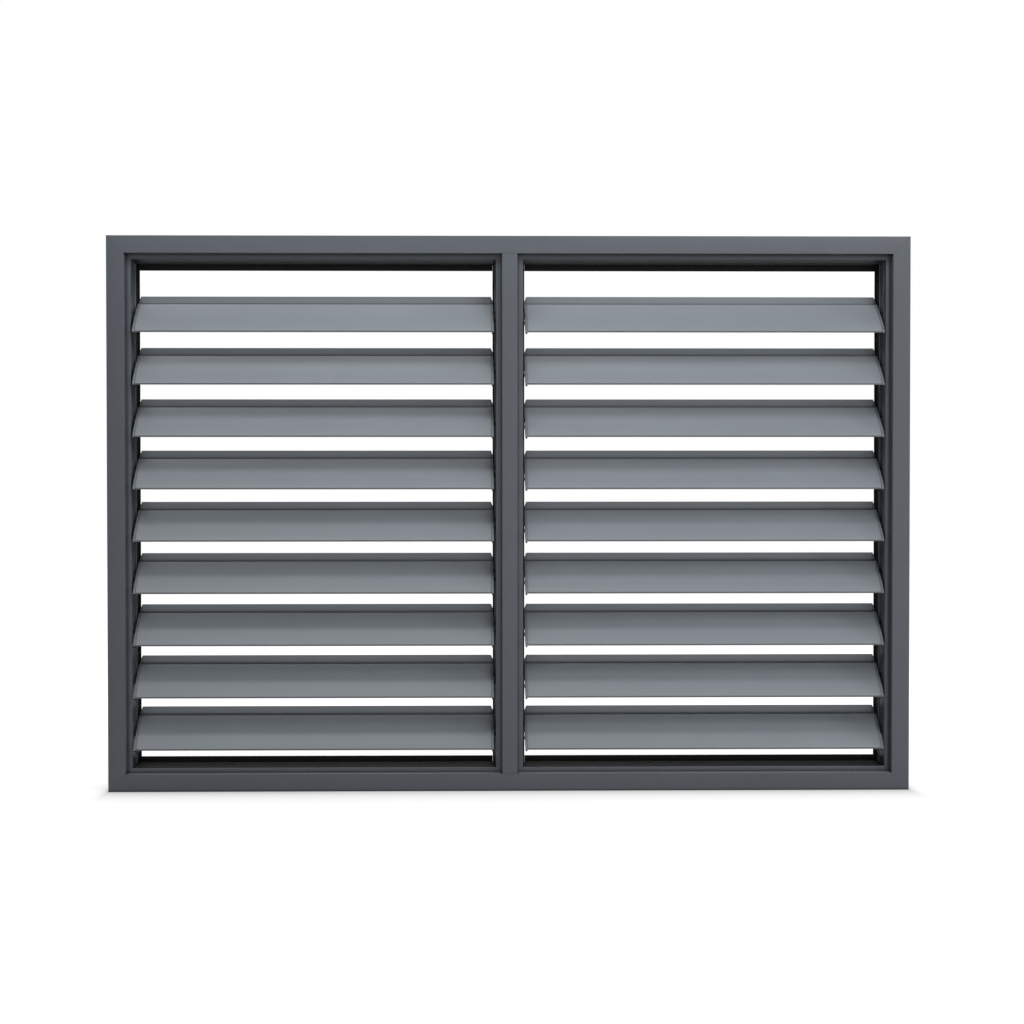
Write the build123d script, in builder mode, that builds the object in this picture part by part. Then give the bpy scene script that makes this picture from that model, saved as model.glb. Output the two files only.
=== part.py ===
from build123d import *
import os

# Louvre window of two bays: a mitred hollow frame, a mullion between the bays and a bank of
# sloping blades in each bay. Millimetres, Z up, front face towards negative Y. The origin is
# under the middle of the sill. In a section, the first number is the setback from the front.

# Overall sizes
window_width = 1150.0
window_height = 795.0
frame_depth = 65.0
blade_rows = 9

# Hollow section of the frame, its widths taken inwards from the outside edge
face_width = 25.0
step_width = 7.0
step_setback = 14.0
frame_wall = 1.8
arris_radius = 0.7
bead_height = 1.4
bead_width = 1.5
bead_setback = 45.5

# Mullion between the bays
mullion_face_width = 22.0
mullion_step_width = 8.5

# Black back angles that close each bay behind the blades
angle_leg = 1.5
angle_lip = 1.8
side_lip_height = 3.8
cross_lip_height = 9.5
angle_end_gap = 0.2

# Extruded blade
blade_setback = 7.0
blade_back_clearance = 3.0
blade_rise = 57.2
blade_wall = 1.8
lip_height = 2.0
nose_depth = 8.3
nose_rise = 11.3
ledge_depth = 10.3
upstand_height = 12.5

# Screw ports under the blade: a round bore, open below, in a square boss
port_bore = 1.9
port_wall = 1.2
port_slot = 1.6
port_inset = 8.0

# Clear heights between the lowest and highest blades and the back angles
sill_clearance = 16.6
head_clearance = 38.2

# End caps, their square spigots and the rubber feet under their tips
cap_thickness = 3.1
cap_side_gap = 3.2
cap_proud = 0.5
cap_depth_below_slope = 11.0
cap_top_drop = 0.5
cap_top_fall = 7.5
cap_toe = 4.5
cap_heel_corner = 1.5
spigot_size = 6.0
spigot_engagement = 3.0
pivot_along_slope = 22.4
pivot_below_slope = 4.9
foot_height = 2.2
foot_depth = 4.0
foot_inset = 0.2

# Bushes that carry the spigots in the frame walls
bush_flange_size = 14.0
bush_flange_corner = 3.0
bush_flange = 1.5
bush_wall = 1.6
bush_shank_reach = 2.5
bush_clearance = 0.1

# Sizes worked out from those above
front = -frame_depth / 2
half_window = window_width / 2
sight_width = face_width + step_width
bead_back = bead_setback + bead_width
half_mullion_face = mullion_face_width / 2
half_mullion = half_mullion_face + mullion_step_width
bay_width = half_window - sight_width - half_mullion
bay_height = window_height - 2 * sight_width
bay_middle = half_mullion + bay_width / 2
blade_length = bay_width - 2 * (cap_side_gap + cap_thickness)
blade_back = frame_depth - blade_back_clearance
lowest_blade = sight_width + cross_lip_height + sill_clearance
highest_blade = window_height - sight_width - cross_lip_height - head_clearance - blade_rise
blade_pitch = (highest_blade - lowest_blade) / (blade_rows - 1)
row_heights = [highest_blade - row * blade_pitch for row in range(blade_rows)]
port_centre_depth = blade_wall + port_bore + port_wall
port_boss = 2 * (port_bore + port_wall)
bush_bore = spigot_size + 2 * bush_clearance
bush_shank = bush_bore + 2 * bush_wall
bush_seat = bush_shank + 2 * bush_clearance

# Corners of the blade's upper surface, as setback and height over the tip
blade_tip = Vector(blade_setback, 0)
lip_top = Vector(blade_setback, lip_height)
nose_corner = Vector(blade_setback + nose_depth, lip_height + nose_rise)
upstand_top = Vector(blade_back - blade_wall, blade_rise)
upstand_foot = Vector(upstand_top.X, blade_rise - upstand_height)
crest = Vector(upstand_foot.X - ledge_depth, upstand_foot.Y)
slope_run = crest - nose_corner
slope_step = slope_run.normalized()
slope_square = Vector(slope_step.Y, -slope_step.X)
slope_angle = Vector(1, 0).get_signed_angle(slope_run, Vector(0, 0, 1))


def under_slope(along, below):
    """Point of the blade section, measured up the main slope and square into its underside."""
    return nose_corner + slope_step * along + slope_square * below


def across(position, height):
    """Plane of a cross section that faces along positive X, at one place along the window."""
    return Plane(origin=(position, front, height), x_dir=(0, 1, 0), z_dir=(1, 0, 0))


def along_front(position, height, outward):
    """Upright plane along the front of the frame, its first axis towards one side of the window."""
    return Plane(origin=(position, front, height), x_dir=(outward, 0, 0), z_dir=(0, -outward, 0))


def nearest(points, corner):
    """The vertex of a profile that lies on one of its corners."""
    return points.sort_by_distance(corner)[0]


def save(builder, label):
    """Label the finished piece and write it to its own file."""
    builder.part.label = label
    export_step(builder.part, f"parts/{label}.step")


pivot = under_slope(pivot_along_slope, pivot_below_slope)
os.makedirs("parts", exist_ok=True)

# Outline of the frame section: widths from the outside edge inwards, then setbacks
with BuildSketch() as frame_outline:
    with BuildLine():
        Polyline(
            (0, 0),
            (face_width, 0),
            (face_width, step_setback),
            (sight_width, step_setback),
            (sight_width, bead_setback),
            (sight_width + bead_height, bead_setback),
            (sight_width + bead_height, bead_back),
            (sight_width, bead_back),
            (sight_width, frame_depth),
            (0, frame_depth),
            close=True,
        )
    make_face()
    arrises = [
        (0, 0),
        (face_width, 0),
        (sight_width, step_setback),
        (sight_width, frame_depth),
        (0, frame_depth),
    ]
    fillet([nearest(frame_outline.vertices(), corner) for corner in arrises], radius=arris_radius)

# Hollow frame section, with one stepped chamber inside an even wall
with BuildSketch() as frame_section:
    add(frame_outline.sketch)
    with BuildLine():
        Polyline(
            (frame_wall, frame_wall),
            (face_width - frame_wall, frame_wall),
            (face_width - frame_wall, step_setback + frame_wall),
            (sight_width - frame_wall, step_setback + frame_wall),
            (sight_width - frame_wall, frame_depth - frame_wall),
            (frame_wall, frame_depth - frame_wall),
            close=True,
        )
    make_face(mode=Mode.SUBTRACT)

# Hollow mullion section, stepped and beaded on both sides like the frame
with BuildSketch() as mullion_section:
    with BuildLine():
        Polyline(
            (0, 0),
            (half_mullion_face, 0),
            (half_mullion_face, step_setback),
            (half_mullion, step_setback),
            (half_mullion, bead_setback),
            (half_mullion + bead_height, bead_setback),
            (half_mullion + bead_height, bead_back),
            (half_mullion, bead_back),
            (half_mullion, frame_depth),
            (0, frame_depth),
        )
        mirror(about=Plane.YZ)
    make_face()
    arrises = [
        (side * width, setback)
        for side in (-1, 1)
        for width, setback in (
            (half_mullion_face, 0),
            (half_mullion, step_setback),
            (half_mullion, frame_depth),
        )
    ]
    fillet([nearest(mullion_section.vertices(), corner) for corner in arrises], radius=arris_radius)
    with BuildLine():
        Polyline(
            (0, frame_wall),
            (half_mullion_face - frame_wall, frame_wall),
            (half_mullion_face - frame_wall, step_setback + frame_wall),
            (half_mullion - frame_wall, step_setback + frame_wall),
            (half_mullion - frame_wall, frame_depth - frame_wall),
            (0, frame_depth - frame_wall),
        )
        mirror(about=Plane.YZ)
    make_face(mode=Mode.SUBTRACT)

# Blade section: a bent strip with a drip lip, a steep nose, the main slope up to a crest, a ledge
# behind the crest and an upstand, and two screw ports under the slope
with BuildSketch() as blade_section:
    with BuildLine():
        bent_strip = Polyline(blade_tip, lip_top, nose_corner, crest, upstand_foot, upstand_top)
        offset(bent_strip, amount=blade_wall, side=Side.RIGHT, kind=Kind.INTERSECTION)
    make_face()
    for along in (port_inset, slope_run.length - port_inset):
        centre = under_slope(along, port_centre_depth)
        with Locations(Location((centre.X, centre.Y, 0), (0, 0, slope_angle))):
            Rectangle(port_boss, port_boss)
            Circle(port_bore, mode=Mode.SUBTRACT)
            Rectangle(port_slot, port_boss, align=(Align.CENTER, Align.MAX), mode=Mode.SUBTRACT)

# End cap: a fin that stands just proud of the blade and covers its screw ports
cap_front = blade_setback - cap_proud
cap_back = blade_back + cap_proud
cap_top = blade_rise - cap_top_drop
belly = under_slope(0, cap_depth_below_slope)
heel_height = belly.Y + (cap_back - belly.X) * slope_step.Y / slope_step.X
shoulder = nose_corner - slope_square * cap_proud
with BuildSketch() as cap_outline:
    with BuildLine():
        Polyline(
            (cap_front, 0),
            (cap_front, lip_height + cap_proud),
            (shoulder.X, shoulder.Y),
            (crest.X, crest.Y + cap_proud),
            (upstand_foot.X - cap_proud, upstand_foot.Y + cap_proud),
            (upstand_foot.X - cap_proud, cap_top),
            (cap_back, cap_top),
            (cap_back, heel_height),
            (belly.X, belly.Y),
            (cap_front + cap_toe, 0),
            close=True,
        )
    make_face()
    chamfer(nearest(cap_outline.vertices(), (cap_back, heel_height)), length=cap_heel_corner)

# Square seat of one bush in a frame wall, and the bush's flange with its corners cut off
with BuildSketch() as bush_seats:
    with Locations((pivot.X, pivot.Y)):
        Rectangle(bush_seat, bush_seat)
with BuildSketch() as bush_flanges:
    with Locations((pivot.X, pivot.Y)):
        Rectangle(bush_flange_size, bush_flange_size)
    chamfer(bush_flanges.vertices(), length=bush_flange_corner)
    with Locations((pivot.X, pivot.Y)):
        Rectangle(bush_bore, bush_bore, mode=Mode.SUBTRACT)

# Four mitred lengths of the frame section, each run from an outside corner. The plane's first
# axis points inwards, its second axis back, and its normal runs along the length.
top = window_height
frame_corners = {
    "frame_jamb_left": Plane(origin=(-half_window, front, 0), x_dir=(1, 0, 0), z_dir=(0, 0, 1)),
    "frame_head": Plane(origin=(-half_window, front, top), x_dir=(0, 0, -1), z_dir=(1, 0, 0)),
    "frame_jamb_right": Plane(origin=(half_window, front, top), x_dir=(-1, 0, 0), z_dir=(0, 0, -1)),
    "frame_sill": Plane(origin=(half_window, front, 0), x_dir=(0, 0, 1), z_dir=(-1, 0, 0)),
}
for label, near in frame_corners.items():
    upright = label.startswith("frame_jamb")
    length = window_height if upright else window_width
    far = near.offset(length)
    with BuildPart() as frame_member:
        with BuildSketch(near):
            add(frame_section.sketch)
        extrude(amount=length)
        split(bisect_by=Plane(near.origin, near.y_dir, near.z_dir - near.x_dir), keep=Keep.TOP)
        split(bisect_by=Plane(far.origin, far.y_dir, -far.z_dir - far.x_dir), keep=Keep.TOP)
        if upright:
            wall_x = near.origin.X + near.x_dir.X * sight_width
            with BuildSketch(*[across(wall_x, height) for height in row_heights]):
                add(bush_seats.sketch)
            extrude(amount=-frame_wall * near.x_dir.X, mode=Mode.SUBTRACT)
    save(frame_member, label)

# Mullion, coped at both ends over the step and the bead of the head and the sill
with BuildPart() as mullion:
    with BuildSketch(Plane(origin=(0, front, face_width), x_dir=(1, 0, 0), z_dir=(0, 0, 1))):
        add(mullion_section.sketch)
    extrude(amount=window_height - 2 * face_width)
    for label in ("frame_head", "frame_sill"):
        with BuildSketch(frame_corners[label]):
            add(frame_outline.sketch)
        extrude(amount=window_width, mode=Mode.SUBTRACT)
    for side in (-1, 1):
        with BuildSketch(*[across(side * half_mullion, height) for height in row_heights]):
            add(bush_seats.sketch)
        extrude(amount=-side * frame_wall, mode=Mode.SUBTRACT)
save(mullion, "mullion")

for bay, bay_side in (("left", -1), ("right", 1)):
    centre = bay_side * bay_middle

    # Blades, numbered from the top
    for row, height in enumerate(row_heights, start=1):
        with BuildPart() as blade:
            with BuildSketch(across(centre - blade_length / 2, height)):
                add(blade_section.sketch)
            extrude(amount=blade_length)
        save(blade, f"blade_{bay}_{row}")

    # What belongs to each end of the bay, built outwards to its frame wall
    for end, outward in (("outer", bay_side), ("inner", -bay_side)):
        wall_x = centre + outward * bay_width / 2
        cap_face = wall_x - outward * cap_side_gap
        cap_root = cap_face - outward * cap_thickness

        # End caps, each with a top that falls away from the blade and a square spigot
        with BuildPart() as end_caps:
            with BuildSketch(*[across(cap_root, height) for height in row_heights]):
                add(cap_outline.sketch)
            extrude(amount=outward * cap_thickness)
            with BuildSketch(*[along_front(cap_root, height + cap_top, outward) for height in row_heights]):
                with BuildLine():
                    Polyline((0, 0), (cap_thickness, 0), (cap_thickness, -cap_top_fall), close=True)
                make_face()
            extrude(amount=-outward * cap_back, mode=Mode.SUBTRACT)
            with BuildSketch(*[across(cap_face, height) for height in row_heights]):
                with Locations((pivot.X, pivot.Y)):
                    Rectangle(spigot_size, spigot_size)
            extrude(amount=outward * (cap_side_gap + frame_wall + spigot_engagement))
        save(end_caps, f"end_caps_{bay}_{end}")

        # Flanged bushes pushed into the frame wall
        bush_reach = frame_wall + bush_shank_reach
        with BuildPart() as bushes:
            with BuildSketch(*[across(wall_x, height) for height in row_heights]):
                add(bush_flanges.sketch)
            extrude(amount=-outward * bush_flange)
            with BuildSketch(*[across(wall_x, height) for height in row_heights]):
                with Locations((pivot.X, pivot.Y)):
                    Rectangle(bush_shank, bush_shank)
                    Rectangle(bush_bore, bush_bore, mode=Mode.SUBTRACT)
            extrude(amount=outward * bush_reach)
        save(bushes, f"bushes_{bay}_{end}")

        # Rubber feet under the tips of the caps
        with BuildPart() as tip_feet:
            with BuildSketch(*[across(cap_root + outward * foot_inset, height) for height in row_heights]):
                with Locations((blade_setback, 0)):
                    Rectangle(foot_depth, foot_height, align=(Align.MIN, Align.MAX))
            extrude(amount=outward * (cap_thickness - 2 * foot_inset))
        save(tip_feet, f"tip_feet_{bay}_{end}")

        # Side angle, its leg on the frame wall behind the bead and its lip at the back
        with BuildPart() as side_angle:
            with BuildSketch(Plane(origin=(wall_x, front, sight_width), x_dir=(1, 0, 0), z_dir=(0, 0, 1))):
                with BuildLine():
                    Polyline(
                        (0, bead_back),
                        (-outward * angle_leg, bead_back),
                        (-outward * angle_leg, frame_depth - angle_lip),
                        (-outward * side_lip_height, frame_depth - angle_lip),
                        (-outward * side_lip_height, frame_depth),
                        (0, frame_depth),
                        close=True,
                    )
                make_face()
            extrude(amount=bay_height)
        save(side_angle, f"back_angle_{bay}_{end}")

    # Angles along the head and the sill, between the side angles
    cross_length = bay_width - 2 * (side_lip_height + angle_end_gap)
    for place, seat, inward in (("top", window_height - sight_width, -1), ("bottom", sight_width, 1)):
        with BuildPart() as cross_angle:
            with BuildSketch(across(centre - cross_length / 2, seat)):
                with BuildLine():
                    Polyline(
                        (bead_back, 0),
                        (bead_back, inward * angle_leg),
                        (frame_depth - angle_lip, inward * angle_leg),
                        (frame_depth - angle_lip, inward * cross_lip_height),
                        (frame_depth, inward * cross_lip_height),
                        (frame_depth, 0),
                        close=True,
                    )
                make_face()
            extrude(amount=cross_length)
        save(cross_angle, f"back_angle_{bay}_{place}")
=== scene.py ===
import math

import bmesh
import bpy
from mathutils import Matrix, Vector


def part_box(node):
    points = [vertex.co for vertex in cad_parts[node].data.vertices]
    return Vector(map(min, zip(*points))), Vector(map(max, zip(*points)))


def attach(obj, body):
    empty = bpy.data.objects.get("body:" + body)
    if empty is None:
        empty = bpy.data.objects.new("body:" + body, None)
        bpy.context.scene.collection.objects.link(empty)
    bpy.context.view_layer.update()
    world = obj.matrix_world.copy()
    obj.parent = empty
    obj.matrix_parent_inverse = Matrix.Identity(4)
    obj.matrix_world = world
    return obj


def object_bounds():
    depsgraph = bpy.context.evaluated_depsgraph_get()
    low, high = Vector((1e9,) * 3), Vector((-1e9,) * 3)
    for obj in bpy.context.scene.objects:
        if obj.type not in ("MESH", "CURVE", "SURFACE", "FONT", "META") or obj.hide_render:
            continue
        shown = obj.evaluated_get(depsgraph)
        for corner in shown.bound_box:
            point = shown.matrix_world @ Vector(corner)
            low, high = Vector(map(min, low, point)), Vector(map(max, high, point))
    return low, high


# Louvre window of two bays in a satin slate powder coat, with black back angles, bushes and feet.
# Metres, in the part's own frame: X to the right, Y to the back, Z up, the front face towards -Y.
# Sizes and places on the part itself are named in millimetres, and MM turns them into metres.

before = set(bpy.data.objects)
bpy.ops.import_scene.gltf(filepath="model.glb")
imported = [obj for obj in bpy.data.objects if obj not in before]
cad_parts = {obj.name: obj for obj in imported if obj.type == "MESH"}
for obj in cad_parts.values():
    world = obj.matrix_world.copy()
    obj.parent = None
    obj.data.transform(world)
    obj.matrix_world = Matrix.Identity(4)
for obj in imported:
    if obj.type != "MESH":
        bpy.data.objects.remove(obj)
cad_low, cad_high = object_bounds()

MM = 0.001

# Bays, each with the side of the middle that it lies on, and the nodes of the part by their finish
BAYS = {"left": -1, "right": 1}
ROWS = range(1, 10)
COLUMNS = [f"{bay}_{end}" for bay in BAYS for end in ("outer", "inner")]
FRAME_NODES = ("frame_head", "frame_sill", "frame_jamb_left", "frame_jamb_right", "mullion")
BLADE_NODES = [f"blade_{bay}_{row}" for bay in BAYS for row in ROWS]
ANGLE_NODES = [f"back_angle_{bay}_{place}" for bay in BAYS for place in ("outer", "inner", "top", "bottom")]
CAP_NODES = [f"end_caps_{column}" for column in COLUMNS]
BUSH_NODES = [f"bushes_{column}" for column in COLUMNS]
FOOT_NODES = [f"tip_feet_{column}" for column in COLUMNS]

# Read from the frame: its front and, in the right bay, the ends of the blades, their feet from the top row
# down, their pitch, and the corners of the opening that the back angles line
FRONT = cad_low.y / MM
BLADE_BOXES = [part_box(f"blade_right_{row}") for row in ROWS]
BLADE_INNER_END, BLADE_OUTER_END = (corner.x / MM for corner in BLADE_BOXES[0])
BLADE_FEET = [foot.z / MM for foot, crest in BLADE_BOXES]
BLADE_PITCH = (BLADE_FEET[0] - BLADE_FEET[-1]) / (len(BLADE_FEET) - 1)
OPENING_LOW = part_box("back_angle_right_inner")[0] / MM
OPENING_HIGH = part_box("back_angle_right_outer")[1] / MM

# Screws in the end caps: the caps' thickness, the ports in the blade, as setback from the front and height
# over the blade's foot, and the turn of a cross from row to row and from port to port
CAP_THICKNESS = 3.1
PORTS = ((24.52, 15.05), (47.27, 35.69))
TURN_BY_ROW = 0.9
TURN_BY_PORT = 2.3

# Rivets in the back angles: the angles' thickness, the rivets' setback from the front, their heights up a
# side, where the middle ones sit a little under the foot of every second blade, and their places across a bay
ANGLE_THICKNESS = 1.5
RIVET_SETBACK = 55.0
RIVET_DROP = 9.0
LOWEST_RIVET = 46.0
HIGHEST_RIVET = 738.1
SIDE_RIVETS = (LOWEST_RIVET, *(foot - RIVET_DROP for foot in BLADE_FEET[6::-2]), HIGHEST_RIVET)
CROSS_RIVETS = (-225.0, -75.0, 75.0, 225.0)

# Outlines of the heads, as radius and height over the seat, and the sides that they are turned in
SCREW_PROFILE = ((3.4, -0.1), (3.4, 0.12), (3.2, 0.36), (2.8, 0.58), (2.35, 0.72), (1.95, 0.8))
SCREW_SIDES = 24
RIVET_PROFILE = ((3.2, -0.1), (3.2, 0.2), (2.95, 0.5), (2.4, 0.82), (1.7, 1.02), (1.05, 1.08), (0.95, 0.5))
RIVET_SIDES = 20
HEAD_CREASE = 35

# Cross recess at its mouth and at its floor, as the reach of an arm, half its width and its height
CROSS_RECESS = ((1.75, 0.42, SCREW_PROFILE[-1][1]), (1.1, 0.3, -0.5))

# Corners of the CAD nodes: the gap that is welded, and the bends in degrees under which facets are one face,
# and over which shading breaks and a corner is eased
WELD = 0.01
FLAT_BEND = 1
SHARP_BEND = 25
CORNER_BEND = 30
EASE_SEGMENTS = 2

# Skin of the coats: waves of its clouds and of its grain in each metre, the grain's share of the mottle, and
# how far from a corner shade is painted into the coat, and the rays sent out to find the corner
CLOUD_WAVES = 14
GRAIN_WAVES = 2600
GRAIN_SHARE = 0.35
RECESS_SHADE_REACH = 4.5
RECESS_SHADE_RAYS = 4

# Boxes round both openings in which light and shade are painted on the frame's coat: how far they grow past
# the openings, sideways and up and down, and the depths between which they lie. The channel is behind the
# step, the bead's front is in the channel, and the reveal is in front of it.
CHANNEL = {"grow": 0.4, "rise": 0.4, "front": -17.0, "back": 32.0}
BEAD_FRONT = {"grow": 0.4, "rise": -2.6, "front": 12.6, "back": 13.4}
REVEAL = {"grow": 7.4, "rise": 7.4, "front": -31.7, "back": -18.0}

# Painted light and shade in those boxes: the channel's shade by the axis that a wall faces, the bead's
# highlight, how much paler the reveal is painted as it faces up, and the furthest down it is taken to face,
# painted darker
CHANNEL_SHADE_BY_FACING = (0.7, 0.5, 0.1)
BEAD_HIGHLIGHT = 3.0
LEDGE_HIGHLIGHT_GAIN = 1.5
LEAST_UPWARD = -0.3

# Painted shade on the drip lip of the blades: its tone, where its band starts over the blade's foot, and the
# heights over that start between which it ends
LIP_SHADE = 0.42
LIP_START = -0.1
LIP_END = (2.2, 2.5)

# Camera: its place in metres, its turns in radians, its scale at the window's front, and the pixel straight
# ahead of it, with the picture's side in pixels and the sensor's in millimetres
PICTURE_SIDE = 1024
CAMERA_DISTANCE = 2.35388
CAMERA_X = -0.07193
CAMERA_Z = 0.41583
LOOKS_DOWN = 0.01644
LOOKS_RIGHT = 0.01421
LEANS = 0.00064
PIXELS_PER_METRE = 698.62
STRAIGHT_AHEAD = (482.91, 528.35)
SENSOR = 36.0

# Floor in metres: half its side, its paint for the light and for the camera, and the glow that only the
# camera finds on it, near the window and far off, with the distances between which that changes
FLOOR_HALF = 8.0
FLOOR_PAINT = 0.8
FLOOR_PAINT_SEEN = 0.35
FLOOR_LIFT = (0.8, 1.05)
FLOOR_FADE = (0.1, 1.5)

# Contact shadow painted into the floor's glow: its depth, its reach in front and behind, and how many times
# shorter it is past the ends
PAINTED_SHADOW_DEPTH = 0.45
PAINTED_SHADOW_REACH = 0.035
PAINTED_SHADOW_NARROWING = 5

# Soft studio lights in metres: where each stands, what it faces, its size and its watts
SOFTBOXES = {
    "overhead, right front": ((1.0, -1.6, 2.0), (0.3, -0.48, 0.4), (0.9, 0.7), 17.2),
    "overhead, left": ((-1.0, -0.9, 2.0), (-0.3, -0.27, 0.4), (0.9, 0.7), 3.6),
    "overhead, left back": ((-1.0, 0.4, 2.0), (-0.3, 0.12, 0.4), (0.9, 0.7), 8.7),
    "overhead, middle back": ((0.0, 0.4, 2.0), (0.0, 0.12, 0.4), (0.9, 0.7), 6.0),
    "overhead, right back": ((1.0, 0.4, 2.0), (0.3, 0.12, 0.4), (0.9, 0.7), 4.0),
    "front, low left": ((-1.6, -3.0, 0.5), (0.0, 0.0, 0.4), (1.4, 0.9), 5.2),
    "front, low": ((0.0, -3.0, 0.5), (0.0, 0.0, 0.4), (1.4, 0.9), 7.8),
    "front, low right": ((1.6, -3.0, 0.5), (0.0, 0.0, 0.4), (1.4, 0.9), 6.3),
    "front, left": ((-1.6, -3.0, 1.4), (0.0, 0.0, 0.4), (1.4, 0.9), 1.0),
    "front, right": ((1.6, -3.0, 1.4), (0.0, 0.0, 0.4), (1.4, 0.9), 3.8),
    "side, right": ((2.2, -0.8, 0.8), (0.0, 0.0, 0.4), (0.9, 1.4), 17.8),
    "behind": ((0.0, 2.2, 2.2), (0.0, 0.0, 0.4), (2.6, 1.0), 14.0),
    "near, left": ((-0.45, -0.28, 0.98), (-0.45, 0.0, 0.66), (0.5, 0.12), 0.27),
    "near, middle": ((0.0, -0.28, 0.98), (0.0, 0.0, 0.66), (0.5, 0.12), 0.25),
    "near, right": ((0.45, -0.28, 0.98), (0.45, 0.0, 0.66), (0.5, 0.12), 0.27),
    "close, left": ((-0.45, -0.35, 1.15), (-0.45, 0.0, 0.75), (0.5, 0.2), 1.1),
    "close, middle": ((0.0, -0.35, 1.15), (0.0, 0.0, 0.75), (0.5, 0.2), 0.9),
    "close, right": ((0.45, -0.35, 1.15), (0.45, 0.0, 0.75), (0.5, 0.2), 0.5),
}


# Helpers for nodes and objects
def socket(group, name, kind, into=True):
    """Adds a named input, or else a named output, to a node group."""
    group.interface.new_socket(name=name, in_out="INPUT" if into else "OUTPUT", socket_type=kind)


def node(tree, kind, inputs=(), **settings):
    """A node with its settings, and its inputs given as values or as the sockets that feed them."""
    made = tree.nodes.new(kind)
    for name, value in settings.items():
        setattr(made, name, value)
    for name, value in dict(inputs).items():
        if isinstance(value, bpy.types.NodeSocket):
            tree.links.new(value, made.inputs[name])
        else:
            made.inputs[name].default_value = value
    return made


def maths(tree, operation, *values, **settings):
    """Result of a Math node on values or on the sockets that give them."""
    return node(tree, "ShaderNodeMath", dict(enumerate(values)), operation=operation, **settings).outputs[0]


def vector_maths(tree, operation, *vectors, result="Vector"):
    """Result of a Vector Math node on vectors or on the sockets that give them."""
    return node(tree, "ShaderNodeVectorMath", dict(enumerate(vectors)), operation=operation).outputs[result]


def scaled(tree, colour, factor):
    """Colour times a factor."""
    return node(tree, "ShaderNodeVectorMath", {0: colour, "Scale": factor}, operation="SCALE").outputs[0]


def chosen(tree, mask, outside, inside):
    """One value where a mask is zero, and another where it is one."""
    values = {"Factor": mask, "A": outside, "B": inside}
    return node(tree, "ShaderNodeMix", values, data_type="FLOAT").outputs[0]


def in_scene(name, data):
    """Object of the given data, linked to the scene."""
    made = bpy.data.objects.new(name, data)
    bpy.context.scene.collection.objects.link(made)
    return made


# Finishes
def noise(tree, place, waves, detail, roughness=0.5):
    """Soft noise with a number of waves in each metre."""
    values = {"Vector": place, "Scale": waves, "Detail": detail, "Roughness": roughness}
    return node(tree, "ShaderNodeTexNoise", values).outputs["Fac"]


def powder_coat_group():
    """Skin of a stoved powder coat: a soft mottle, orange peel, and painted shade that darkens it in its
    recesses.
    """
    group = bpy.data.node_groups.new("Powder coat skin", "ShaderNodeTree")
    socket(group, "Colour", "NodeSocketColor")
    for name in ("Mottle", "Recess shade", "Roughness", "Peel size"):
        socket(group, name, "NodeSocketFloat")
    socket(group, "Colour", "NodeSocketColor", into=False)
    for name in ("Roughness", "Peel"):
        socket(group, name, "NodeSocketFloat", into=False)
    given = node(group, "NodeGroupInput").outputs
    place = node(group, "ShaderNodeTexCoord").outputs["Object"]
    cloud = noise(group, place, CLOUD_WAVES, detail=4, roughness=0.6)
    grain = noise(group, place, GRAIN_WAVES, detail=2)
    peel = noise(group, place, given["Peel size"], detail=3)
    spread = maths(group, "SUBTRACT", chosen(group, GRAIN_SHARE, cloud, grain), 0.5)
    gain = maths(group, "ADD", maths(group, "MULTIPLY", spread, given["Mottle"]), 1.0)
    # Painted shade: the coat is darkened in recesses and near corners by the share of short rays that are
    # blocked
    around = {"Distance": RECESS_SHADE_REACH * MM}
    open_share = node(group, "ShaderNodeAmbientOcclusion", around, samples=RECESS_SHADE_RAYS).outputs["AO"]
    painted_recess_shade = maths(group, "MULTIPLY", maths(group, "SUBTRACT", 1.0, open_share), given["Recess shade"])
    kept = maths(group, "SUBTRACT", 1.0, painted_recess_shade, use_clamp=True)
    tint = scaled(group, given["Colour"], maths(group, "MULTIPLY", gain, kept))
    rough = maths(group, "MULTIPLY", given["Roughness"], gain)
    node(group, "NodeGroupOutput", {"Colour": tint, "Roughness": rough, "Peel": peel})
    return group


def coat_material(skin, name, colour, roughness, mottle, peel, recess_shade=1.6, specular=0.5, metal=0.0):
    """Powder coat, moulded surface or bare metal; peel is its waves in each metre and their height, and
    recess shade how strongly shade is painted into its corners.
    """
    made = bpy.data.materials.new(name)
    made.use_nodes = True
    tree = made.node_tree
    shader = tree.nodes["Principled BSDF"].inputs
    peel_size, peel_height = peel
    looks = {
        "Colour": (*colour, 1),
        "Mottle": mottle,
        "Recess shade": recess_shade,
        "Roughness": roughness,
        "Peel size": peel_size,
    }
    surface = node(tree, "ShaderNodeGroup", looks, node_tree=skin).outputs
    relief = {"Height": surface["Peel"], "Distance": peel_height * MM, "Strength": 1}
    tree.links.new(surface["Colour"], shader["Base Color"])
    tree.links.new(surface["Roughness"], shader["Roughness"])
    tree.links.new(node(tree, "ShaderNodeBump", relief).outputs["Normal"], shader["Normal"])
    shader["Specular IOR Level"].default_value = specular
    shader["Metallic"].default_value = metal
    return made


def paint_light_on_coat(material, painted_light):
    """Multiplies the coat of a material by painted light and shade that change over the surface."""
    tree = material.node_tree
    coat = tree.nodes["Principled BSDF"].inputs["Base Color"]
    tree.links.new(scaled(tree, coat.links[0].from_socket, painted_light), coat)


def round_openings(tree, grow, rise, front, back):
    """Mask that is one in a box round both openings, and zero outside it."""
    low = Vector((-OPENING_HIGH.x - grow, front, OPENING_LOW.z - rise)) * MM
    high = Vector((OPENING_HIGH.x + grow, back, OPENING_HIGH.z + rise)) * MM
    place = node(tree, "ShaderNodeTexCoord").outputs["Object"]
    away = vector_maths(tree, "ABSOLUTE", vector_maths(tree, "SUBTRACT", place, (low + high) / 2))
    depth = vector_maths(tree, "SUBTRACT", away, (high - low) / 2)
    sides = node(tree, "ShaderNodeSeparateXYZ", {0: depth}).outputs
    worst = maths(tree, "MAXIMUM", maths(tree, "MAXIMUM", sides["X"], sides["Y"]), sides["Z"])
    return maths(tree, "LESS_THAN", worst, 0.0)


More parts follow.
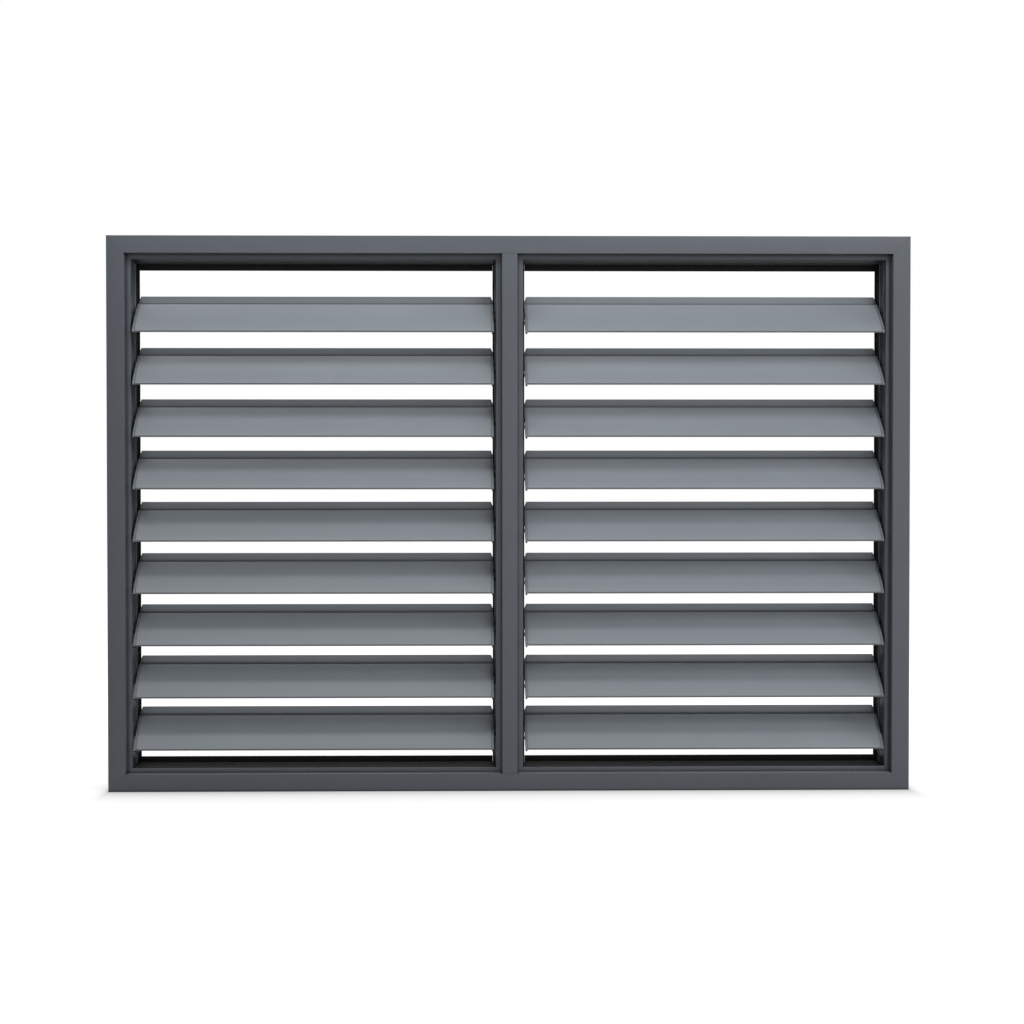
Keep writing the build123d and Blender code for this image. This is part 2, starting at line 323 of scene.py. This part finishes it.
def paint_channel_light_and_shade(material):
    """Painted shade on the walls of the frame's channel, a painted highlight on its bead, and a reveal
    painted paler facing up and darker facing down.
    """
    tree = material.node_tree
    facing = node(tree, "ShaderNodeNewGeometry").outputs["Normal"]
    # Painted shade on the channel's walls by the axis that each faces, a painted highlight on the bead's
    # front, and the reveal painted lighter facing up and darker facing down
    turned = vector_maths(tree, "ABSOLUTE", facing)
    wall_shade = vector_maths(tree, "DOT_PRODUCT", turned, CHANNEL_SHADE_BY_FACING, result="Value")
    upward = node(tree, "ShaderNodeSeparateXYZ", {0: facing}).outputs["Z"]
    ledge_light = maths(tree, "MULTIPLY_ADD", maths(tree, "MAXIMUM", upward, LEAST_UPWARD), LEDGE_HIGHLIGHT_GAIN, 1.0)
    painted_light = 1.0
    for box, inside in ((CHANNEL, wall_shade), (BEAD_FRONT, BEAD_HIGHLIGHT), (REVEAL, ledge_light)):
        painted_light = chosen(tree, round_openings(tree, **box), painted_light, inside)
    paint_light_on_coat(material, painted_light)


def paint_lip_shade(material):
    """Painted shade, darker along the drip lip at the front of each blade."""
    tree = material.node_tree
    place = node(tree, "ShaderNodeTexCoord").outputs["Object"]
    height = node(tree, "ShaderNodeSeparateXYZ", {0: place}).outputs["Z"]
    # Painted shade: a band darkens the coat along each blade's drip lip
    above_lowest = maths(tree, "SUBTRACT", height, (BLADE_FEET[-1] + LIP_START) * MM)
    above_start = maths(tree, "FLOORED_MODULO", above_lowest, BLADE_PITCH * MM)
    band = {
        "Value": above_start,
        "From Min": LIP_END[0] * MM,
        "From Max": LIP_END[1] * MM,
        "To Min": LIP_SHADE,
        "To Max": 1.0,
    }
    paint_light_on_coat(material, node(tree, "ShaderNodeMapRange", band).outputs["Result"])


# Corners of the CAD nodes
def welded_group():
    """Geometry nodes that weld a node's facets and shade them smooth across bends and flat across corners."""
    group = bpy.data.node_groups.new("Welded facets", "GeometryNodeTree")
    socket(group, "Geometry", "NodeSocketGeometry")
    socket(group, "Geometry", "NodeSocketGeometry", into=False)
    given = node(group, "NodeGroupInput").outputs["Geometry"]
    merged = node(group, "GeometryNodeMergeByDistance", {"Geometry": given, "Distance": WELD * MM})
    imported = {"Geometry": merged.outputs[0], "Name": "custom_normal"}
    plain = node(group, "GeometryNodeRemoveAttribute", imported)
    smooth = node(group, "GeometryNodeSetShadeSmooth", {"Geometry": plain.outputs[0]}, domain="FACE")
    bend = node(group, "GeometryNodeInputMeshEdgeAngle").outputs["Unsigned Angle"]
    limit = {"A": bend, "B": math.radians(SHARP_BEND)}
    sharp = node(group, "FunctionNodeCompare", limit, data_type="FLOAT", operation="GREATER_THAN")
    broken = {"Geometry": smooth.outputs[0], "Selection": sharp.outputs[0], "Shade Smooth": False}
    hard = node(group, "GeometryNodeSetShadeSmooth", broken, domain="EDGE")
    node(group, "NodeGroupOutput", {"Geometry": hard.outputs[0]})
    return group


def dress(names, material, welded, arris):
    """Gives CAD nodes their finish, and eases their corners by a small bevel."""
    for name in names:
        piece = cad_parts[name]
        piece.material_slots[0].material = material
        clean = piece.modifiers.new("welded facets", "NODES")
        clean.node_group = welded
        flat = piece.modifiers.new("whole faces", "DECIMATE")
        flat.decimate_type = "DISSOLVE"
        flat.angle_limit = math.radians(FLAT_BEND)
        ease = piece.modifiers.new("eased corners", "BEVEL")
        ease.width = arris * MM
        ease.segments = EASE_SEGMENTS
        ease.limit_method = "ANGLE"
        ease.angle_limit = math.radians(CORNER_BEND)
        ease.harden_normals = True


# Screws and rivets
def finished_mesh(mesh, name):
    """Turns mesh work into mesh data and frees the work."""
    data = bpy.data.meshes.new(name)
    mesh.to_mesh(data)
    mesh.free()
    return data


def ring(mesh, radius, height, sides):
    """Closed loop of vertices around the axis of a screw or a rivet."""
    turns = [2 * math.pi * step / sides for step in range(sides)]
    return [mesh.verts.new((radius * math.cos(turn), radius * math.sin(turn), height)) for turn in turns]


def skirt(mesh, lower, upper):
    """Band of faces between two loops of equal count."""
    for step in range(len(lower)):
        after = (step + 1) % len(lower)
        mesh.faces.new((lower[step], lower[after], upper[after], upper[step]))


def turned_head(mesh, profile, sides):
    """Head turned from its outline, left open inside the innermost loop, which it gives."""
    loops = [ring(mesh, radius * MM, height * MM, sides) for radius, height in profile]
    for lower, upper in zip(loops, loops[1:]):
        skirt(mesh, lower, upper)
    return loops[-1]


def screw_head():
    """Raised countersunk head of a 3.5 mm tapping screw with a cross recess, its seat at height zero."""
    mesh = bmesh.new()
    crown = turned_head(mesh, SCREW_PROFILE, SCREW_SIDES)
    crosses = []
    for reach, half, height in CROSS_RECESS:
        corners = []
        for quarter in range(4):
            spin = Matrix.Rotation(math.radians(90 * quarter), 3, "Z")
            for corner in ((half, -half), (reach, -half), (reach, half)):
                corners.append(mesh.verts.new(spin @ Vector((*corner, height)) * MM))
        crosses.append(corners)
    mouth, floor = crosses
    skirt(mesh, mouth, floor)
    mesh.faces.new(floor)
    rim = crown + mouth
    open_edges = [edge for edge in mesh.edges if edge.is_boundary and edge.verts[0] in rim]
    bmesh.ops.triangle_fill(mesh, use_beauty=True, edges=open_edges)
    bmesh.ops.recalc_face_normals(mesh, faces=mesh.faces)
    return finished_mesh(mesh, "cap screw")


def rivet_head():
    """Domed head of a 3.2 mm blind rivet with the hollow that its pin leaves."""
    mesh = bmesh.new()
    hollow = turned_head(mesh, RIVET_PROFILE, RIVET_SIDES)
    mesh.faces.new(hollow)
    bmesh.ops.recalc_face_normals(mesh, faces=mesh.faces)
    return finished_mesh(mesh, "angle rivet")


def fix(name, head, places, material):
    """One piece with a head at each place, each place given as its seat, its outward axis and its turn."""
    mesh = bmesh.new()
    for seat, out, turn in places:
        before = len(mesh.verts)
        mesh.from_mesh(head)
        mesh.verts.ensure_lookup_table()
        aim = Vector(out).to_track_quat("Z", "Y").to_matrix().to_4x4()
        move = Matrix.Translation(Vector(seat) * MM) @ aim @ Matrix.Rotation(turn, 4, "Z")
        bmesh.ops.transform(mesh, matrix=move, verts=mesh.verts[before:])
    data = finished_mesh(mesh, name)
    data.materials.append(material)
    data.shade_smooth()
    piece = in_scene(name, data)
    crease = piece.modifiers.new("crisp edges", "EDGE_SPLIT")
    crease.split_angle = math.radians(HEAD_CREASE)
    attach(piece, "root")


def fix_caps(head, material):
    """Two screws through each cap into the ports of its blade."""
    outer = BLADE_OUTER_END + CAP_THICKNESS
    inner = BLADE_INNER_END - CAP_THICKNESS
    for bay, side in BAYS.items():
        for end, out, reach in (("outer", side, outer), ("inner", -side, inner)):
            places = []
            for row, foot in enumerate(BLADE_FEET):
                for number, (setback, above) in enumerate(PORTS):
                    seat = (side * reach, FRONT + setback, foot + above)
                    places.append((seat, (out, 0, 0), TURN_BY_ROW * row + TURN_BY_PORT * number))
            fix(f"cap_screws_{bay}_{end}", head, places, material)


def fix_angles(head, material):
    """Rivets along the legs of the back angles, set in the gaps between the blades."""
    depth = FRONT + RIVET_SETBACK
    inner, bottom = OPENING_LOW.x + ANGLE_THICKNESS, OPENING_LOW.z + ANGLE_THICKNESS
    outer, top = OPENING_HIGH.x - ANGLE_THICKNESS, OPENING_HIGH.z - ANGLE_THICKNESS
    middle = (OPENING_LOW.x + OPENING_HIGH.x) / 2
    for bay, side in BAYS.items():
        for end, out, reach in (("outer", -side, outer), ("inner", side, inner)):
            places = [((side * reach, depth, height), (out, 0, 0), 0.0) for height in SIDE_RIVETS]
            fix(f"angle_rivets_{bay}_{end}", head, places, material)
        for place, out, height in (("top", -1, top), ("bottom", 1, bottom)):
            spots = [side * middle + shift for shift in CROSS_RIVETS]
            places = [((spot, depth, height), (0, 0, out), 0.0) for spot in spots]
            fix(f"angle_rivets_{bay}_{place}", head, places, material)


# Camera, lights and floor
def make_camera():
    """Camera nearly square to the window, with the small shift that frames it as in the photograph."""
    data = bpy.data.cameras.new("camera")
    data.sensor_width = SENSOR
    data.lens = PIXELS_PER_METRE * CAMERA_DISTANCE / PICTURE_SIDE * SENSOR
    data.shift_x = 0.5 - STRAIGHT_AHEAD[0] / PICTURE_SIDE
    data.shift_y = STRAIGHT_AHEAD[1] / PICTURE_SIDE - 0.5
    camera = in_scene("camera", data)
    camera.location = (CAMERA_X, cad_low.y - CAMERA_DISTANCE, CAMERA_Z)
    camera.rotation_euler = (math.radians(90) - LOOKS_DOWN, LEANS, -LOOKS_RIGHT)
    bpy.context.scene.camera = camera


def softbox(name, place, target, size, power):
    """Rectangular studio light, seen only by what it lights."""
    data = bpy.data.lights.new(name, "AREA")
    data.shape = "RECTANGLE"
    data.size, data.size_y = size
    data.energy = power
    light = in_scene(name, data)
    light.location = place
    light.rotation_euler = (Vector(target) - Vector(place)).to_track_quat("-Z", "Y").to_euler()
    light.visible_camera = False


def make_backdrop():
    """White backdrop that only the camera finds, so that nothing but the soft boxes lights the window."""
    world = bpy.data.worlds.new("studio")
    world.use_nodes = True
    bpy.context.scene.world = world
    tree = world.node_tree
    tree.nodes.clear()
    seen = node(tree, "ShaderNodeLightPath").outputs["Is Camera Ray"]
    white = node(tree, "ShaderNodeBackground", {"Color": (1, 1, 1, 1), "Strength": seen})
    node(tree, "ShaderNodeOutputWorld", {"Surface": white.outputs[0]})


def make_floor():
    """Plain pale floor, which brightens into the backdrop outside a contact shadow of the window painted into
    its glow.
    """
    mesh = bpy.data.meshes.new("floor")
    corners = [(x * FLOOR_HALF, y * FLOOR_HALF, 0) for x, y in ((-1, -1), (1, -1), (1, 1), (-1, 1))]
    mesh.from_pydata(corners, [], [(0, 1, 2, 3)])
    floor = in_scene("floor", mesh)
    pale = bpy.data.materials.new("pale floor")
    pale.use_nodes = True
    tree = pale.node_tree
    shader = tree.nodes["Principled BSDF"].inputs
    mirrored = vector_maths(tree, "ABSOLUTE", node(tree, "ShaderNodeTexCoord").outputs["Object"])
    past = vector_maths(tree, "SUBTRACT", mirrored, (cad_high.x, cad_high.y, 0))
    outside = vector_maths(tree, "MAXIMUM", past, (0, 0, 0))
    weighed = vector_maths(tree, "MULTIPLY", outside, (PAINTED_SHADOW_NARROWING, 1, 1))
    away = vector_maths(tree, "LENGTH", weighed, result="Value")
    # Painted contact shadow: the glow that the camera finds on the floor is dimmed near the window's foot
    painted_shadow = maths(tree, "EXPONENT", maths(tree, "MULTIPLY", away, -1 / PAINTED_SHADOW_REACH))
    glow = {
        "Value": away,
        "From Min": FLOOR_FADE[0],
        "From Max": FLOOR_FADE[1],
        "To Min": FLOOR_LIFT[0],
        "To Max": FLOOR_LIFT[1],
    }
    open_floor = node(tree, "ShaderNodeMapRange", glow, interpolation_type="SMOOTHSTEP").outputs["Result"]
    lift = maths(tree, "MULTIPLY_ADD", painted_shadow, -PAINTED_SHADOW_DEPTH, open_floor)
    seen = node(tree, "ShaderNodeLightPath").outputs["Is Camera Ray"]
    tree.links.new(maths(tree, "MULTIPLY", lift, seen), shader["Emission Strength"])
    tree.links.new(chosen(tree, seen, FLOOR_PAINT, FLOOR_PAINT_SEEN), shader["Base Color"])
    shader["Emission Color"].default_value = (1, 1, 1, 1)
    shader["Roughness"].default_value = 0.9
    shader["Specular IOR Level"].default_value = 0.0
    mesh.materials.append(pale)


bpy.context.scene.view_settings.view_transform = "Standard"
make_camera()
make_backdrop()
make_floor()
for softbox_name, (place, target, size, power) in SOFTBOXES.items():
    softbox(softbox_name, place, target, size, power)

skin = powder_coat_group()
frame_coat = coat_material(
    skin,
    "slate powder coat, frame",
    colour=(0.073, 0.082, 0.098),
    roughness=0.4,
    mottle=0.16,
    peel=(700, 0.05),
)
# The blades have the frame's own slate coat; their colour is painted lighter than the frame's to stand in for
# the light that their slopes catch
blade_coat_painted_lighter = coat_material(
    skin,
    "slate powder coat, blades",
    colour=(0.212, 0.237, 0.26),
    roughness=0.4,
    mottle=0.16,
    peel=(700, 0.04),
    recess_shade=2.0,
)
cap_coat = coat_material(
    skin, "slate moulded caps", colour=(0.15, 0.165, 0.18), roughness=0.42, mottle=0.12, peel=(1100, 0.04)
)
black_coat = coat_material(
    skin,
    "black coat",
    colour=(0.006, 0.0065, 0.007),
    roughness=0.6,
    mottle=0.2,
    peel=(900, 0.05),
    specular=0.2,
)
black_nylon = coat_material(
    skin, "black nylon", colour=(0.01, 0.01, 0.011), roughness=0.5, mottle=0.15, peel=(1500, 0.03)
)
black_rubber = coat_material(
    skin, "black rubber", colour=(0.008, 0.008, 0.008), roughness=0.75, mottle=0.2, peel=(1800, 0.05)
)
screw_steel = coat_material(
    skin,
    "stainless screws",
    colour=(0.55, 0.55, 0.54),
    roughness=0.3,
    mottle=0.1,
    peel=(2500, 0.01),
    metal=1.0,
)
paint_channel_light_and_shade(frame_coat)
paint_lip_shade(blade_coat_painted_lighter)

welded = welded_group()
dress(FRAME_NODES, frame_coat, welded, arris=0.25)
dress(BLADE_NODES, blade_coat_painted_lighter, welded, arris=0.3)
dress(CAP_NODES, cap_coat, welded, arris=0.3)
dress(ANGLE_NODES, black_coat, welded, arris=0.15)
dress(BUSH_NODES, black_nylon, welded, arris=0.15)
dress(FOOT_NODES, black_rubber, welded, arris=0.3)
fix_caps(screw_head(), screw_steel)
fix_angles(rivet_head(), black_coat)
